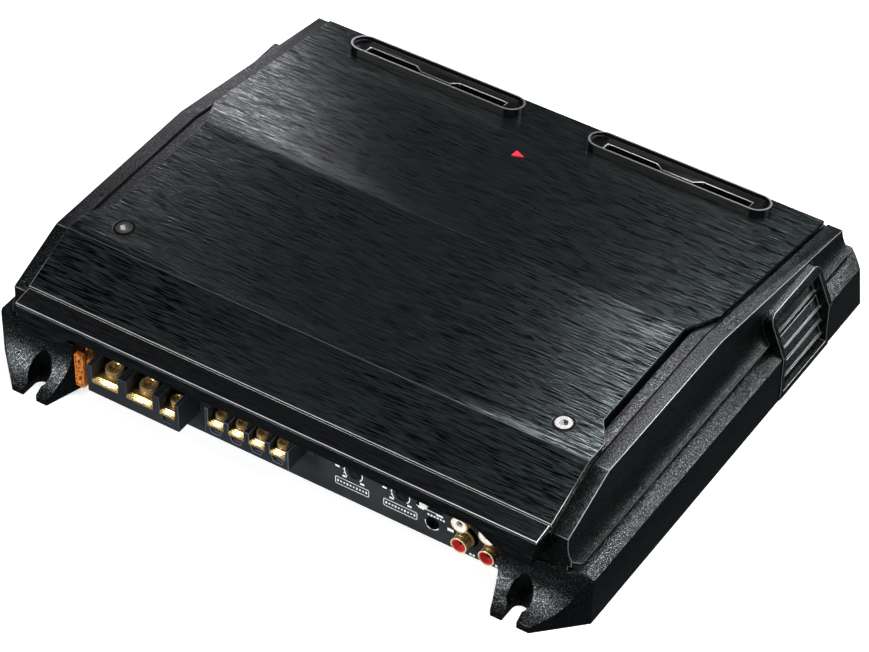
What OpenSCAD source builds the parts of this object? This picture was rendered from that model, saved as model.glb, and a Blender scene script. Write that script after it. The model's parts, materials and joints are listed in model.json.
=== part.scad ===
// Car power amplifier: flat aluminium chassis with four slotted mounting feet, a brushed folded top,
// cast side rails and end caps, and all connectors on the front face under an overhanging cover.
// Axes: +X to the right seen from the connector side, -Y towards the connectors, +Z up.
// Origin: centre of the footprint, on the mounting surface.

/* [Body] */
// Overall width across the lower side rails
body_w = 320; // [316:1:326]
// Length of the side rails, front to back
rail_l = 244; // [242:1:250]
// Distance from the middle to the tips of the mounting feet
foot_tip = 144.5; // [144:0.5:148]
// Height of the flat crown of the top above the mounting surface
crown_z = 64.7; // [64:0.1:67]
// Thickness of the brushed top sheets
sheet_t = 1.8; // [1.2:0.1:2]

/* [Mounting feet] */
// Width of the open screw slots
slot_w = 7.5; // [6:0.1:8]
// Distance of the slots from the middle
slot_x = 130.2; // [129:0.1:132.5]

/* [Vents] */
// Overall length of the oblong top vents
vent_l = 98.5; // [90:0.5:104]
// Overall width of the oblong top vents
vent_w = 15; // [14:0.5:16]
// Height of the vent rims above the top sheet
vent_h = 4.6; // [3:0.1:6]
// Distance of the vent centres from the middle
vent_x = 68; // [60:0.5:70]

/* [Terminals] */
// Radius of the two large supply screw heads
power_head_r = 4.6; // [4:0.1:4.8]
// Radius of the small screw heads
small_head_r = 3.2; // [2.5:0.1:3.3]
// Outside diameter of the phono jack shells
rca_od = 8.3; // [8:0.1:8.5]

/* [Hidden] */
$fn = 64;
eps = 0.01;
half_w = body_w / 2;
half_l = rail_l / 2;

// Top sheet outline seen from the side, front to rear
sheet_front = [-127.2, crown_z - 12.8];
crease_front_y = -96.4;
crease_rear_y = -0.4;
sheet_rear = [118.7, crown_z - 18.2];
rear_slope = (crown_z - sheet_rear[1]) / (sheet_rear[0] - crease_rear_y);
rear_angle = atan(rear_slope);
function sheet_line(drop) = [
    [sheet_front[0], sheet_front[1] - drop],
    [crease_front_y, crown_z - drop],
    [crease_rear_y, crown_z - drop],
    [sheet_rear[0], sheet_rear[1] - drop]];
function rear_z(y) = crown_z - rear_slope * (y - crease_rear_y);

// Top sheet outline seen from above
sheet_half = 139.5;
waist_half = 131.4;
waist_front_y = [-83.6, -71];
waist_rear_y = 18.5;

// Lower rails
rail_in = half_w - 16;
rail_z = 25.8;
ledge_x = half_w - 4.5;
ledge_z = 28.5;
seal_in = half_w - 13.5;
foot_in_x = [112.5, 120.5];
foot_out_x = 140.2;
foot_root = 117.5;
foot_scoop_r = 27.2;
foot_scoop_y = foot_tip + 11.2;
facet_at = [149, -128.6];
facet_turn = -59;
facet_lean = 0.545;
rear_lean = 0.134;
slot_end = foot_tip - 8.7;

// Upper end caps
cap_in = 133;
cap_out = half_w - 11.5;
cap_z = 31.8;
cap_front_y = -127.5;
cap_skirt_z = 29;
cap_skirt_t = 2.5;
cap_rear_y = 121.5;
cap_top_z = crown_z - 2.9;
cap_wall = 3;
cove_r = 16;
cove_c = [cap_out - 0.2 + cove_r, cap_z + sqrt(cove_r * cove_r - 11.1 * 11.1)];
cap_lip_x = cove_c[0] - 11.1;
strip_x = sheet_half + 0.7;
strip_step = 1;
function cap_line(drop) = [
    [cap_front_y, cap_top_z - 14.1 - drop],
    [-94.3, cap_top_z - drop],
    [4, cap_top_z - drop],
    [cap_rear_y, cap_top_z - 19 - drop]];

// Top vents and indicator
vent_y = 105.5;
vent_wall = 1;
vent_recess = 2;
vent_plate_t = 2;
vent_slot = [39.5, 12.5, 8.5];
vent_slot_y = [-5.2, -2.2, 1.2];
led = [-1.6, 73.5];

// Side grilles
grille_y = [44, 91];
grille_out = half_w + 0.6;
grille_top = [half_w - 8, 47];
grille_in = half_w - 12;
grille_wall = 3;
grille_bar = 4.5;
slat_pitch = 8;
grille_gap = 0.25;

// Front cover
panel_y = -119.5;
panel_t = 2;
panel_low = 0.8;
panel_half = 112.2;
panel_wide = 132.6;
panel_top = 46.6;
rear_panel_top = rear_z(119.4) - sheet_t - 0.4;
panel_screw = [10.6, 20];
trim_y = [-127.9, -138.4];
trim_z = [crown_z - 13.1, crown_z - 14.4];
trim_half = 139;
fascia_end_z = 33.2;
fascia_mid_z = 41.9;
fascia_cut_x = [108.4, 122.3];
fascia_taper = 2.8;
fascia_t = 2;
fascia_top = trim_z[1] - 1.5;

// Power terminal block
power_x = -101.9;
power_front = -136;
power_z = [13, 28.9];
power_walls = [2.5, 4.7, 3.7, 2.1];
power_bays = [14.7, 14.7, 8.6];
power_floor = 19.4;
power_screw_y = -128;
function power_bay_x(i) = power_x + power_walls[0]
    + (i > 0 ? power_bays[0] + power_walls[1] : 0) + (i > 1 ? power_bays[1] + power_walls[2] : 0);
function power_bay_mid(i) = power_bay_x(i) + power_bays[i] / 2;
power_w = power_bay_x(2) + power_bays[2] + power_walls[3] - power_x;

// Speaker terminal block
speaker_x = -37.2;
speaker_front = -134.5;
speaker_z = [18.7, 30.7];
speaker_bay = 8.4;
speaker_wall = 1.6;
speaker_pitch = 11.2;
speaker_floor = 24.6;
speaker_screw_y = -129;
speaker_tall_z = 34.5;
function speaker_bay_x(i) = speaker_x + speaker_wall + i * speaker_pitch;
function speaker_bay_mid(i) = speaker_bay_x(i) + speaker_bay / 2;
speaker_w = 2 * speaker_wall + 3 * speaker_pitch + speaker_bay;
plate_t = 1.6;
shank_r = 2.2;
small_shank_r = 1.5;
run_gap = 0.08;

// Fuse
fuse_x = -107.3;
fuse_z = 21.3;
fuse_cap = [5.2, 8, 19.4];
fuse_stem = [3.8, 9, 16];
fuse_front = -135;

// Signal connectors and controls
rca_x = [92.8, 107];
rca_z = [12.3, 25.1];
rca_front = -126.8;
rca_r = rca_od / 2;
rca_wall = 0.7;
rca_neck_r = rca_r - 0.3;
rca_collar_y = panel_y - 1.2;
rca_collar_r = 5.3;
rca_back = -112;
rca_pin_r = 1.65;
crossover_x = 33.4;
sensitivity_x = 58.5;
knob_z = 18.6;
knob_r = 3;
knob_shaft_r = 2;
switch_x = [66.2, 79.8];
switch_z = 19.6;
switch_rest_x = 70;
remote_x = 74.7;
remote_z = 10.5;
remote_bore_r = 1.8;
remote_len = 11;

// Inside
floor_z = 1;
floor_t = 2;
pcb_z = 6;
pcb_t = 1.6;
pcb_top = pcb_z + pcb_t;
deck_gap = 0.1;
deck_t = 4;
wall_x = 129;
wall_t = 3;
fan_w = 35;
fan_c = [109, 67, pcb_top + fan_w / 2];
fan_t = 10;
fan_bore_r = 16.5;
cover_screw = [118, -82.4];
cover_head_z = 3.2;

// Sweeps a (Y, Z) outline along X
module along_x(x0, x1) {
    translate([x0, 0, 0]) rotate([90, 0, 90]) linear_extrude(x1 - x0) children();
}
// Sweeps an (X, Z) outline along Y
module along_y(y0, y1) {
    translate([0, y1, 0]) rotate([90, 0, 0]) linear_extrude(y1 - y0) children();
}
// Box from its low corner to its high corner
module block(low, high) {
    translate(low) cube(high - low);
}
// Round bar along Y between two stations
module bar_y(x, z, r, y0, y1) {
    translate([x, y1, z]) rotate([90, 0, 0]) cylinder(h = y1 - y0, r = r);
}
// Outline with round ends, along X
module oblong(l, w) {
    square([l - w, w], center = true);
    for (s = [-1, 1]) translate([s * (l - w) / 2, 0]) circle(d = w);
}
// Local frame on the rear slope of the top, with +Z square to the sheet
module on_rear_slope(x, y) {
    translate([x, y, rear_z(y)]) rotate([-rear_angle, 0, 0]) children();
}
// Band of the sheet outline between two depths below its top
module sheet_band(top, bottom) {
    a = sheet_line(top);
    b = sheet_line(bottom);
    polygon(concat(a, [b[3], b[2], b[1], b[0]]));
}

// ---------- chassis ----------
module bottom_plate() {
    color("dimgray")
    difference() {
        block([-rail_in, -foot_root + 0.2, floor_z], [rail_in, foot_root - 0.2, floor_z + floor_t]);
        for (x = [-80, 80], y = [-90, 0, 90])
            translate([x, y, 0]) cylinder(h = 5, r = 1.65);
    }
}
module heatsink() {
    color("darkslategray")
    difference() {
        union() {
            intersection() {
                along_x(-wall_x, wall_x)
                    sheet_band(sheet_t + deck_gap, sheet_t + deck_gap + deck_t);
                block([-wall_x, -117, 0], [wall_x, 117, 80]);
            }
            intersection() {
                along_x(-wall_x, wall_x) polygon(concat([[117, 3], [-117, 3]], sheet_line(sheet_t + 1)));
                for (s = [-1, 1]) translate([s * (wall_x - wall_t / 2), 0, 40])
                    cube([wall_t, 230, 80], center = true);
            }
            for (s = [0, 1]) mirror([s, 0, 0])
                block([wall_x - 1, -115, floor_z + floor_t], [rail_in, 115, floor_z + floor_t + 4]);
        }
        for (s = [-1, 1]) {
            on_rear_slope(s * vent_x, vent_y) translate([0, 0, -14])
                linear_extrude(20) oblong(vent_l + 0.2, vent_w + 0.2);
            translate([s * cover_screw[0], cover_screw[1], 0]) {
                translate([0, 0, 50]) cylinder(h = 20, r = 2.6);
                translate([0, 0, crown_z - cover_head_z - 0.2]) cylinder(h = 20, r = 4.4);
            }
        }
        translate([led[0], led[1], 40]) cylinder(h = 30, r = 4.2);
    }
}
// Panel that is narrow between the feet and wide above them
module panel_outline(top) {
    step_z = ledge_z + 0.2;
    translate([-panel_half, panel_low]) square([2 * panel_half, step_z - panel_low]);
    translate([-panel_wide, step_z]) square([2 * panel_wide, top - step_z]);
}
module connector_panel() {
    color("darkslategray")
    difference() {
        along_y(panel_y, panel_y + panel_t) panel_outline(panel_top);
        for (x = rca_x, z = rca_z) bar_y(x, z, 5.9, panel_y - 1, panel_y + 3);
        for (x = [crossover_x, sensitivity_x]) bar_y(x, knob_z, knob_r + 0.3, panel_y - 1, panel_y + 3);
        block([switch_x[0], panel_y - 1, switch_z - 2], [switch_x[1], panel_y + 3, switch_z + 2]);
        bar_y(remote_x, remote_z, 3.3, panel_y - 1, panel_y + 3);
        block([fuse_x - 3.2, panel_y - 1, fuse_z - 10.6], [fuse_x + 3.2, panel_y + 3, fuse_z + 10.6]);
        bar_y(panel_screw[0], panel_screw[1], 1.3, panel_y - 1, panel_y + 3);
    }
}
module rear_panel() {
    color("darkslategray")
    difference() {
        along_y(117.4, 119.4) panel_outline(rear_panel_top);
        for (i = [0:11]) translate([-88 + i * 16, 118, 20]) cube([5, 6, 18], center = true);
    }
}

// Footprint of a foot, for the right front corner
module foot_plan() {
    polygon([[foot_in_x[0], -foot_root], [foot_in_x[0], -foot_root - 2], [foot_in_x[1], -foot_tip],
        [foot_out_x, -foot_tip], [half_w, -foot_tip + half_w - foot_out_x], [half_w, -foot_root]]);
}
module foot() {
    difference() {
        linear_extrude(ledge_z) foot_plan();
        // concave upper face
        along_x(100, 165) translate([-foot_scoop_y, ledge_z]) circle(r = foot_scoop_r, $fn = 96);
        // open screw slot
        translate([slot_x, -slot_end, -1]) cylinder(h = 40, d = slot_w);
        block([slot_x - slot_w / 2, -foot_tip - 1, -1], [slot_x + slot_w / 2, -slot_end, 40]);
        // driver channel above the slot
        translate([slot_x, -slot_end + 1.5, 3.4]) cylinder(h = 20, r1 = 7.6, r2 = 3);
    }
}
module grille_outline(grow) {
    polygon([[grille_in - grow, -1], [grille_out + grow, -1], [grille_out + grow, rail_z + grow],
        [grille_top[0] + grow, grille_top[1] + grow], [grille_in - grow, grille_top[1] + grow]]);
}
module side_rail() {
    difference() {
        union() {
            along_y(-half_l, half_l) polygon([[rail_in, 0], [half_w, 0], [half_w, rail_z],
                [ledge_x, ledge_z], [rail_in, ledge_z]]);
            foot();
            mirror([0, 1, 0]) foot();
        }
        along_y(grille_y[0] - grille_gap, grille_y[1] + grille_gap) grille_outline(grille_gap);
        // ledge chamfer carried over the corner blocks
        for (s = [-1, 1]) scale([1, s, 1])
            along_y(-half_l - 4, -foot_root + eps) polygon([[half_w + 1, rail_z - 0.6],
                [half_w + 1, ledge_z + 1], [ledge_x, ledge_z + 1], [ledge_x, ledge_z]]);
        // steep facet on the front corner, and the leaning rear corner
        lean_cut(facet_at, facet_turn, facet_lean, ledge_z);
        lean_cut([half_w, foot_tip + foot_out_x - half_w], 45, rear_lean, 0);
    }
}
// Everything outside a plane that passes through a point at height z0 and leans in above it
module lean_cut(at, turn, lean, z0) {
    translate([at[0], at[1], z0]) rotate([0, 0, turn])
        along_y(-40, 40) polygon([[lean * (z0 + 1), -z0 - 1], [30, -z0 - 1], [30, 40], [-lean * 40, 40]]);
}
module right_side_rail() {
    color("darkslategray") side_rail();
}
module left_side_rail() {
    color("darkslategray") mirror([1, 0, 0]) side_rail();
}
module side_seal() {
    difference() {
        union() {
            block([seal_in, cap_front_y + cap_skirt_t + 0.5, ledge_z], [cap_lip_x - 1.4, cap_rear_y, cap_z]);
            block([seal_in, cap_front_y + cap_skirt_t + 0.3, ledge_z + 1.2],
                [cap_lip_x - 0.5, cap_rear_y + 0.6, ledge_z + 2]);
        }
        block([grille_in - grille_gap, grille_y[0] - grille_gap, 0], [half_w, grille_y[1] + grille_gap, 40]);
    }
}
module right_side_seal() {
    color("black") side_seal();
}
module left_side_seal() {
    color("black") mirror([1, 0, 0]) side_seal();
}
module cap_profile_side(drop, y0, y1) {
    a = cap_line(drop);
    polygon(concat([[y0, 0]], [[y0, a[0][1] + (y0 - a[0][0]) * 0.42], a[1], a[2],
        [y1, a[3][1] + (a[3][0] - y1) * 0.162]], [[y1, 0]]));
}
module end_cap() {
    difference() {
        union() {
            intersection() {
                along_y(cap_front_y, cap_rear_y) difference() {
                    translate([cap_in, cap_z]) square([cap_lip_x - cap_in, 40]);
                    translate(cove_c) circle(r = cove_r, $fn = 96);
                    translate([cap_out - 0.2, cove_c[1]]) square([20, 40]);
                }
                along_x(cap_in - 1, half_w) cap_profile_side(0, cap_front_y, cap_rear_y);
            }
            // skirt of the front face, down to just above the rail
            block([cap_in, cap_front_y, cap_skirt_z], [cap_out, cap_front_y + cap_skirt_t, cap_z + 1]);
        }
        // chamfered front corner
        linear_extrude(80) polygon([[cap_out + 1.2, cap_front_y - 1], [cap_lip_x + 2, cap_front_y - 1],
            [cap_lip_x + 2, cap_front_y + 8.5]]);
        // hollow inside, open towards the heatsink and below
        intersection() {
            block([cap_in - 1, cap_front_y + cap_wall, cap_z - 1], [cap_out - cap_wall, cap_rear_y - cap_wall, 80]);
            along_x(cap_in - 2, half_w)
                cap_profile_side(cap_wall + strip_step, cap_front_y + 0.5, cap_rear_y - 0.5);
        }
        // lowered strip under the edge of the top sheet, and the thin line beside it
        difference() {
            block([cap_in - 1, cap_front_y - 1, cap_z], [strip_x, cap_rear_y + 1, 80]);
            along_x(cap_in - 2, half_w) cap_profile_side(strip_step, cap_front_y - 2, cap_rear_y + 2);
        }
        difference() {
            block([strip_x - 0.9, cap_front_y - 1, cap_z], [strip_x, cap_rear_y + 1, 80]);
            along_x(cap_in - 2, half_w) cap_profile_side(2 * strip_step, cap_front_y - 2, cap_rear_y + 2);
        }
        along_y(grille_y[0] - grille_gap, grille_y[1] + grille_gap) grille_outline(grille_gap);
    }
}
module right_end_cap() {
    color("darkslategray") end_cap();
}
module left_end_cap() {
    color("darkslategray") mirror([1, 0, 0]) end_cap();
}

// ---------- top ----------
module sheet_shell() {
    along_x(-150, 150) sheet_band(0, sheet_t);
}
module top_plate() {
    color("black")
    difference() {
        intersection() {
            sheet_shell();
            linear_extrude(90) polygon([
                [-waist_half, crease_rear_y], [waist_half, crease_rear_y],
                [sheet_half - 0.6, waist_rear_y], [sheet_half + 0.1, sheet_rear[0]],
                [-sheet_half - 0.1, sheet_rear[0]], [-sheet_half + 0.6, waist_rear_y]]);
        }
        for (s = [-1, 1]) on_rear_slope(s * vent_x, vent_y) translate([0, 0, -5])
            linear_extrude(10) oblong(vent_l + 0.1, vent_w + 0.1);
        on_rear_slope(led[0], led[1]) translate([0, 0, -5]) linear_extrude(10) indicator_outline(0.15);
    }
}
module terminal_cover() {
    color("black")
    difference() {
        intersection() {
            sheet_shell();
            linear_extrude(90) polygon([
                [-sheet_half, -140], [sheet_half, -140], [sheet_half, waist_front_y[0]],
                [waist_half, waist_front_y[1]], [waist_half, crease_rear_y - 0.2],
                [-waist_half, crease_rear_y - 0.2], [-waist_half, waist_front_y[1]],
                [-sheet_half, waist_front_y[0]]]);
        }
        for (s = [-1, 1]) translate([s * cover_screw[0], cover_screw[1], 50]) cylinder(h = 20, r = 5.3);
    }
}
module front_trim() {
    color("dimgray") along_x(-trim_half, trim_half) polygon([
        [trim_y[0], trim_z[0]], [trim_y[1], trim_z[1]],
        [trim_y[1], trim_z[1] - 1.5], [trim_y[0], trim_z[0] - 1.8]]);
}
module fascia_front() {
    polygon([[-trim_half, fascia_top], [trim_half, fascia_top], [trim_half - fascia_taper, fascia_end_z],
        [fascia_cut_x[1], fascia_end_z], [fascia_cut_x[0], fascia_mid_z],
        [-fascia_cut_x[0], fascia_mid_z], [-fascia_cut_x[1], fascia_end_z],
        [-trim_half + fascia_taper, fascia_end_z]]);
}
module fascia_end() {
    polygon([[trim_half, fascia_top], [trim_half - fascia_taper, fascia_end_z],
        [trim_half - fascia_taper - fascia_t, fascia_end_z], [trim_half - fascia_t, fascia_top]]);
}
module front_fascia() {
    color("black") {
        along_y(trim_y[1], trim_y[1] + fascia_t) fascia_front();
        along_y(trim_y[1] + fascia_t - eps, cap_front_y - 0.3) fascia_end();
        mirror([1, 0, 0]) along_y(trim_y[1] + fascia_t - eps, cap_front_y - 0.3) fascia_end();
        block([-trim_half + 1, trim_y[1] + fascia_t - eps, fascia_top - 1.6],
            [trim_half - 1, cap_front_y - 0.3, fascia_top]);
        block([-panel_wide, cap_front_y - 0.3 - eps, fascia_top - 1.6],
            [panel_wide, panel_y + panel_t, fascia_top]);
    }
}
module side_grille() {
    round_r = 5;
    difference() {
        intersection() {
            along_y(grille_y[0], grille_y[1]) grille_outline(0);
            along_x(grille_in - 1, grille_out + 1) grille_face(0, round_r);
        }
        block([0, 0, -5], [200, 100, 0]);
        // window between the frame bars
        along_x(grille_in - 5, grille_out + 5) intersection() {
            grille_face(grille_wall, 3);
            square([100, grille_top[1] - grille_bar]);
        }
    }
    // slats across the window
    intersection() {
        along_y(grille_y[0] + 1, grille_y[1] - 1) intersection() {
            slats();
            grille_outline(0);
        }
        along_x(grille_in - 1, grille_out + 1) grille_face(1, round_r - 1);
    }
}
// Outline of the grille seen from the side, drawn in from its edge, with round upper corners
module grille_face(inset, r) {
    y0 = grille_y[0] + inset;
    y1 = grille_y[1] - inset;
    top = grille_top[1] - inset;
    translate([y0, inset > 2 ? 4 : 0]) square([y1 - y0, top - r - (inset > 2 ? 4 : 0)]);
    translate([y0 + r, 10]) square([y1 - y0 - 2 * r, top - 10]);
    for (y = [y0 + r, y1 - r]) translate([y, top - r]) circle(r = r);
}
// Steep blades, each with a thin lip along its lower edge
module slats() {
    for (z = [slat_pitch:slat_pitch:4 * slat_pitch]) {
        lean = z < rail_z ? 0 : (grille_out - grille_top[0]) * (z - rail_z) / (grille_top[1] - rail_z);
        x = grille_out - lean - 1.5 - 0.12 * z;
        polygon([[x, z], [x - 0.9, z], [x - 3, z + 5.2], [x - 4.2, z + 5.2], [x - 2.1, z - 1], [x, z - 1]]);
    }
}
module right_side_grille() {
    color("dimgray") side_grille();
}
module left_side_grille() {
    color("dimgray") mirror([1, 0, 0]) side_grille();
}
module vent_bezel(s) {
    on_rear_slope(s * vent_x, vent_y) difference() {
        translate([0, 0, -7]) linear_extrude(7 + vent_h) oblong(vent_l, vent_w);
        translate([0, 0, -8]) linear_extrude(9 + vent_h)
            oblong(vent_l - 2 * vent_wall, vent_w - 2 * vent_wall);
    }
}
module left_vent_bezel() {
    color("silver") vent_bezel(-1);
}
module right_vent_bezel() {
    color("silver") vent_bezel(1);
}
// Plate just below the vent's rim, with a slot that is wide at both ends and narrow in the middle
module vent_insert(s) {
    on_rear_slope(s * vent_x, vent_y)
        translate([0, 0, vent_h - vent_recess - vent_plate_t]) linear_extrude(vent_plate_t) difference() {
            oblong(vent_l - 2 * vent_wall - 0.2, vent_w - 2 * vent_wall - 0.2);
            polygon([[-vent_slot[0], vent_slot_y[0]], [vent_slot[0], vent_slot_y[0]],
                [vent_slot[0], vent_slot_y[2]], [vent_slot[1], vent_slot_y[2]],
                [vent_slot[2], vent_slot_y[1]], [-vent_slot[2], vent_slot_y[1]],
                [-vent_slot[1], vent_slot_y[2]], [-vent_slot[0], vent_slot_y[2]]]);
        }
}
module left_vent_insert() {
    color("black") vent_insert(-1);
}
module right_vent_insert() {
    color("black") vent_insert(1);
}
module indicator_outline(grow) {
    polygon([[-2.2 - grow, -2.6 - 1.6 * grow], [3.2 + 2 * grow, 0], [-2.2 - grow, 2.6 + 1.6 * grow]]);
}
module indicator_lens() {
    color("red") on_rear_slope(led[0], led[1]) translate([0, 0, -2.6])
        linear_extrude(3) indicator_outline(0);
}
module indicator_led() {
    color("firebrick") translate([led[0], led[1], 0]) {
        translate([0, 0, 44]) cylinder(h = 5, r = 1.5);
        for (s = [-1, 1]) translate([s * 1.27 * 0.6, 0, (44 + pcb_top) / 2])
            cube([0.5, 0.5, 44 - pcb_top + eps], center = true);
    }
}
module cover_screws() {
    color("silver") for (s = [-1, 1]) translate([s * cover_screw[0], cover_screw[1], 0]) difference() {
        union() {
            translate([0, 0, crown_z - cover_head_z]) cylinder(h = cover_head_z + 0.3, r = 4);
            translate([0, 0, crown_z - 16]) cylinder(h = 13, r = 2);
        }
        translate([0, 0, crown_z - 1.6]) cylinder(h = 3, r = 2.3, $fn = 6);
    }
}
module cover_screw_cups() {
    color("black") for (s = [-1, 1]) translate([s * cover_screw[0], cover_screw[1], 0]) difference() {
        translate([0, 0, crown_z - sheet_t]) cylinder(h = sheet_t + 0.25, r = 5.2);
        translate([0, 0, crown_z - 5]) cylinder(h = 8, r = 4.1);
    }
}
module chassis_screws() {
    color("dimgray") {
        for (x = [-80, 80], y = [-90, 0, 90]) translate([x, y, 0]) {
            translate([0, 0, 0.2]) cylinder(h = 0.8, r = 2.8);
            translate([0, 0, 0.9]) cylinder(h = 2.1, r = 1.5);
        }
        bar_y(panel_screw[0], panel_screw[1], 1.2, panel_y - eps, panel_y + 4);
        bar_y(panel_screw[0], panel_screw[1], 1.8, panel_y - 0.9, panel_y);
    }
}

// ---------- supply and speaker terminals ----------
module terminal_screw(x, y, z, head_r, head_h, shaft_r, shaft_l) {
    translate([x, y, z]) difference() {
        union() {
            cylinder(h = head_h, r = head_r);
            translate([0, 0, -shaft_l]) cylinder(h = shaft_l + eps, r = shaft_r);
        }
        // crosshead recess
        for (a = [0, 90]) rotate(a) translate([0, 0, head_h])
            cube([head_r * 1.2, head_r * 0.28, 2.4], center = true);
    }
}
module power_terminal_block() {
    color("darkslategray") difference() {
        block([power_x, power_front, power_z[0]], [power_x + power_w, panel_y, power_z[1]]);
        for (i = [0:2]) block([power_bay_x(i), power_front - 1, power_floor],
            [power_bay_x(i) + power_bays[i], panel_y - 2.2, power_z[1] + 1]);
        for (i = [0:2]) translate([power_bay_mid(i), power_screw_y, power_z[0] + 1])
            cylinder(h = 20, r = (i < 2 ? shank_r : small_shank_r) + run_gap);
        translate([power_bay_mid(2), power_front, 0]) terminal_notch(power_bays[2], power_floor);
    }
}
// Tapered notch in the front wall below a small clamp plate
module terminal_notch(w, z) {
    along_y(-1, 1.4) polygon([[-w / 2 + 0.8, z + 0.1], [w / 2 - 0.8, z + 0.1],
        [w / 2 - 2, z - 3.6], [-w / 2 + 2, z - 3.6]]);
}
// Clamp plate with raised ridges and a hole for its screw
module clamp_plate(x0, w, y0, y1, z, screw_y, hole_r) {
    difference() {
        union() {
            block([x0 + 0.2, y0, z], [x0 + w - 0.2, y1, z + plate_t]);
            for (k = [0:2]) block([x0 + 0.8, y0 + 0.5 + k, z + plate_t - eps],
                [x0 + w - 0.8, y0 + 1 + k, z + plate_t + 0.25]);
        }
        translate([x0 + w / 2, screw_y, z - 1]) cylinder(h = 5, r = hole_r);
    }
}
module power_clamp_plates() {
    color("goldenrod") for (i = [0:2])
        clamp_plate(power_bay_x(i), power_bays[i], power_front - 0.3, panel_y - 2.3, power_floor,
            power_screw_y, (i < 2 ? shank_r : small_shank_r) + 0.2);
}
module power_screw(i) {
    terminal_screw(power_bay_mid(i), power_screw_y, power_floor + plate_t + 0.3,
        i < 2 ? power_head_r : small_head_r, i < 2 ? 5 : 3.6, i < 2 ? shank_r : small_shank_r, 7);
}
module battery_screw() {
    color("gold") power_screw(0);
}
module ground_screw() {
    color("gold") power_screw(1);
}
module remote_screw() {
    color("gold") power_screw(2);
}
module speaker_terminal_block() {
    color("darkslategray") difference() {
        union() {
            block([speaker_x, speaker_front, speaker_z[0]], [speaker_x + speaker_w, panel_y, speaker_z[1]]);
            block([speaker_x, speaker_front, speaker_z[0]], [speaker_x + speaker_wall, panel_y, speaker_tall_z]);
        }
        for (i = [0:3]) {
            block([speaker_bay_x(i), speaker_front - 1, speaker_floor],
                [speaker_bay_x(i) + speaker_bay, panel_y - 2.2, speaker_z[1] + 1]);
            translate([speaker_bay_mid(i), speaker_screw_y, speaker_z[0] + 1])
                cylinder(h = 20, r = small_shank_r + run_gap);
            translate([speaker_bay_mid(i), speaker_front, 0]) terminal_notch(speaker_bay, speaker_floor);
        }
    }
}
module speaker_clamp_plates() {
    color("goldenrod") for (i = [0:3])
        clamp_plate(speaker_bay_x(i), speaker_bay, speaker_front - 0.3, panel_y - 2.3, speaker_floor,
            speaker_screw_y, small_shank_r + 0.2);
}
module speaker_screw(i) {
    color("gold") terminal_screw(speaker_bay_mid(i), speaker_screw_y, speaker_floor + plate_t + 0.3,
        small_head_r, 3.6, small_shank_r, 5.5);
}
module speaker_screw_1() {
    speaker_screw(0);
}
module speaker_screw_2() {
    speaker_screw(1);
}
module speaker_screw_3() {
    speaker_screw(2);
}
module speaker_screw_4() {
    speaker_screw(3);
}

// ---------- fuse ----------
module centred_block(c, size) {
    translate(c) cube(size, center = true);
}
module fuse_holder() {
    color("black") difference() {
        union() {
            centred_block([fuse_x, panel_y - 0.4, fuse_z], [6.2, 0.8, 21]);
            block([fuse_x - 3.1, panel_y - eps, fuse_z - 10.5], [fuse_x + 3.1, -104.5, fuse_z + 10.5]);
        }
        block([fuse_x - 2.2, -125, fuse_z - 8.3], [fuse_x + 2.2, -117.2, fuse_z + 8.3]);
        for (s = [-1, 1]) block([fuse_x - 0.6, -118, fuse_z + s * 5 - 2.9],
            [fuse_x + 0.6, -106, fuse_z + s * 5 + 2.9]);
    }
}
module fuse_body() {
    cap_back = fuse_front + fuse_cap[1];
    color("orange") difference() {
        union() {
            block([fuse_x - fuse_cap[0] / 2, fuse_front, fuse_z - fuse_cap[2] / 2],
                [fuse_x + fuse_cap[0] / 2, cap_back, fuse_z + fuse_cap[2] / 2]);
            block([fuse_x - fuse_stem[0] / 2, cap_back - eps, fuse_z - fuse_stem[2] / 2],
                [fuse_x + fuse_stem[0] / 2, cap_back + fuse_stem[1], fuse_z + fuse_stem[2] / 2]);
        }
        // test point wells
        for (s = [-1, 1]) bar_y(fuse_x, fuse_z + s * 5, 1.1, fuse_front - 1, fuse_front + 1);
        for (s = [-1, 1]) block([fuse_x - 0.4, fuse_front + 3, fuse_z + s * 5 - 2.6],
            [fuse_x + 0.4, cap_back + 20, fuse_z + s * 5 + 2.6]);
    }
}
module fuse_blades() {
    color("silver") for (s = [-1, 1]) block([fuse_x - 0.35, fuse_front + 3.1, fuse_z + s * 5 - 2.55],
        [fuse_x + 0.35, -109, fuse_z + s * 5 + 2.55]);
}

// ---------- phono jacks ----------
module rca_housing() {
    color("black") difference() {
        union() {
            block([rca_x[0] - 8, panel_y + panel_t + 0.1, rca_z[0] - 7],
                [rca_x[1] + 5, -105, rca_z[1] + 7]);
            for (x = rca_x, z = rca_z) bar_y(x, z, rca_collar_r, rca_collar_y, panel_y + panel_t + 0.2);
        }
        for (x = rca_x, z = rca_z) bar_y(x, z, rca_neck_r, panel_y - 2, rca_back);
    }
}
module rca_shells() {
    color("gold") for (x = rca_x, z = rca_z) difference() {
        union() {
            bar_y(x, z, rca_r, rca_front, rca_collar_y);
            bar_y(x, z, rca_neck_r, rca_collar_y - eps, rca_back);
        }
        bar_y(x, z, rca_r - rca_wall, rca_front - 1, rca_back + 1);
    }
}
module rca_ring(x, z) {
    difference() {
        bar_y(x, z, rca_r - rca_wall, rca_front + 0.9, rca_back);
        bar_y(x, z, rca_pin_r, rca_front - 1, rca_back + 1);
    }
}
module rca_white_rings() {
    color("white") for (x = rca_x) rca_ring(x, rca_z[1]);
}
module rca_red_rings() {
    color("red") for (x = rca_x) rca_ring(x, rca_z[0]);
}
module rca_contacts() {
    color("gold") for (x = rca_x, z = rca_z) difference() {
        bar_y(x, z, rca_pin_r, rca_front + 2, rca_back);
        bar_y(x, z, rca_pin_r - 0.45, rca_front + 1, rca_back - 1);
    }
}

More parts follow.
